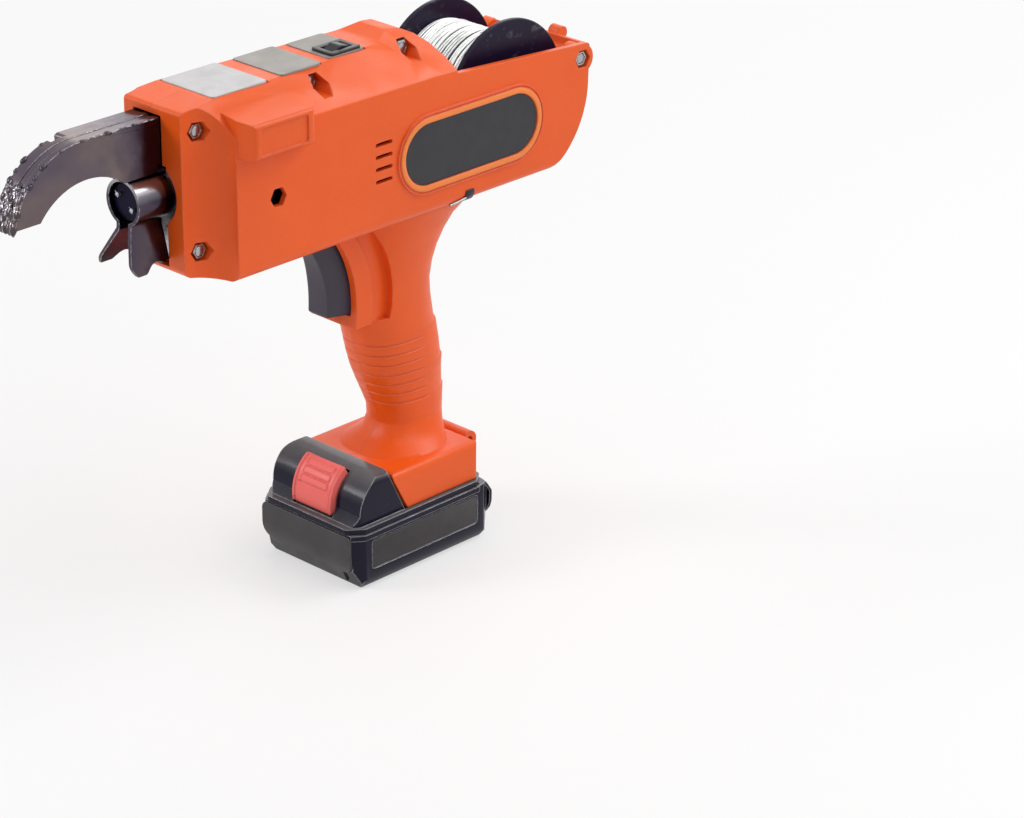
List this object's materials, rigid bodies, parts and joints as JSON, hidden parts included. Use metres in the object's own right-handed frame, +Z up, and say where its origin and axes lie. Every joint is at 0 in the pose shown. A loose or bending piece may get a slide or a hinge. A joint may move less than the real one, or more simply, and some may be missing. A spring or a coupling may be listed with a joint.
{
  "type": "rebar tying tool",
  "caption": "Battery rebar tying tool with an orange pistol-grip casing, a steel curling jaw, an open wire-spool bay at the tail and a slide-on battery under the handle.",
  "frame": {"origin": "on the battery's flat base under the handle", "axes": "+X forward to the jaw, +Y to the tool's left, +Z up"},
  "size_m": [0.2797, 0.0648, 0.2226],
  "materials": {
    "casing": "moulded orange plastic, satin",
    "zinc": "zinc plated",
    "jaw_steel": "hardened steel with a glossy dark nickel finish",
    "machined_steel": "machined steel",
    "motor_can": "plated motor can",
    "board": "solder mask",
    "trigger_grey": "dark grey satin plastic",
    "switch_black": "black satin plastic",
    "window": "pale film",
    "label": "bare grey label film",
    "slate": "bare slate plate",
    "spool_black": "dark satin plastic",
    "tie_wire": "annealed galvanised wire",
    "battery_black": "glossy black plastic",
    "panel_grey": "bare dark panel",
    "cell": "shrink sleeve",
    "contact": "plated contacts",
    "latch_red": "coral red plastic"
  },
  "bodies": {
    "casing": {"casing_left": "casing", "casing_right": "casing", "casing_screws": "zinc", "casing_nuts": "zinc", "jaw_left_plate": "jaw_steel", "jaw_right_plate": "jaw_steel", "jaw_core": "jaw_steel", "jaw_guide_block": "jaw_steel", "wire_funnel": "jaw_steel", "nose_frame": "machined_steel", "front_bearing": "machined_steel", "gear_plate_rear": "machined_steel", "gear_plate_front": "machined_steel", "feed_bracket": "machined_steel", "idler_axle": "machined_steel", "wire_guide": "machined_steel", "cutter_pin": "machined_steel", "spool_axle": "machined_steel", "trigger_spring": "machined_steel", "twist_motor": "motor_can", "feed_motor": "motor_can", "circuit_board": "board", "trigger_switch": "switch_black", "rocker_bezel": "switch_black", "top_window": "window", "top_label": "label", "switch_label": "label", "oval_plate": "slate", "foot_contacts": "contact"},
    "trigger": {"trigger": "trigger_grey"},
    "rocker": {"rocker": "switch_black"},
    "spool": {"spool": "spool_black", "wire_core": "tie_wire", "wire_winding": "tie_wire"},
    "twister": {"twist_head": "jaw_steel", "twist_shaft": "machined_steel", "twist_gear": "machined_steel"},
    "pinion": {"motor_pinion": "machined_steel", "motor_shaft": "machined_steel"},
    "feeder": {"feed_shaft": "machined_steel", "feed_wheel": "machined_steel"},
    "idler": {"idler_wheel": "machined_steel"},
    "cutter": {"cutter_lever": "machined_steel"},
    "battery": {"battery_tray": "battery_black", "battery_cover": "battery_black", "battery_label": "panel_grey", "battery_cells": "cell", "battery_clips": "contact", "latch_spring": "machined_steel"},
    "latch": {"battery_latch": "latch_red"}
  },
  "joints": [
    {"name": "trigger_slide", "type": "slide", "parent": "casing", "child": "trigger", "axis": [-1, 0, 0], "range_m": [0, 0.005], "stiffness_N_per_m": 400, "springref_m": -0.005, "deforming": ["trigger_spring"]},
    {"name": "rocker_tilt", "type": "hinge", "parent": "casing", "child": "rocker", "pos_m": [0.0252, 0.00625, 0.2191], "axis": [0, -1, 0], "range_deg": [0, 16]},
    {"name": "spool_spin", "type": "hinge", "parent": "casing", "child": "spool", "pos_m": [-0.0545, 0, 0.1851], "axis": [0, 1, 0], "continuous": true},
    {"name": "twist_spin", "type": "hinge", "parent": "casing", "child": "twister", "pos_m": [0.0468, 0, 0.1838], "axis": [1, 0, 0], "continuous": true},
    {"name": "pinion_spin", "type": "hinge", "parent": "casing", "child": "pinion", "pos_m": [0.0468, 0, 0.1646], "axis": [1, 0, 0], "continuous": true},
    {"name": "feed_spin", "type": "hinge", "parent": "casing", "child": "feeder", "pos_m": [0.079, 0.01503, 0.2059], "axis": [0, 0, 1], "continuous": true},
    {"name": "idler_spin", "type": "hinge", "parent": "casing", "child": "idler", "pos_m": [0.079, -0.00702, 0.2059], "axis": [0, 0, 1], "continuous": true},
    {"name": "cutter_swing", "type": "hinge", "parent": "casing", "child": "cutter", "pos_m": [0.1038, 0, 0.1988], "axis": [0, 1, 0], "range_deg": [0, 12], "stiffness_Nm_per_rad": 0.02, "springref_deg": -11.46},
    {"name": "battery_slide", "type": "slide", "parent": "casing", "child": "battery", "axis": [1, 0, 0], "range_m": [0, 0.06]},
    {"name": "latch_press", "type": "slide", "parent": "battery", "child": "latch", "axis": [-0.7071, 0, -0.7071], "range_m": [0, 0.0025], "stiffness_N_per_m": 600, "springref_m": -0.003, "deforming": ["latch_spring"]}
  ],
  "couplings": [
    {"joint": "pinion_spin", "follows": "twist_spin", "ratio": -3},
    {"joint": "idler_spin", "follows": "feed_spin", "ratio": -2.2121}
  ]
}
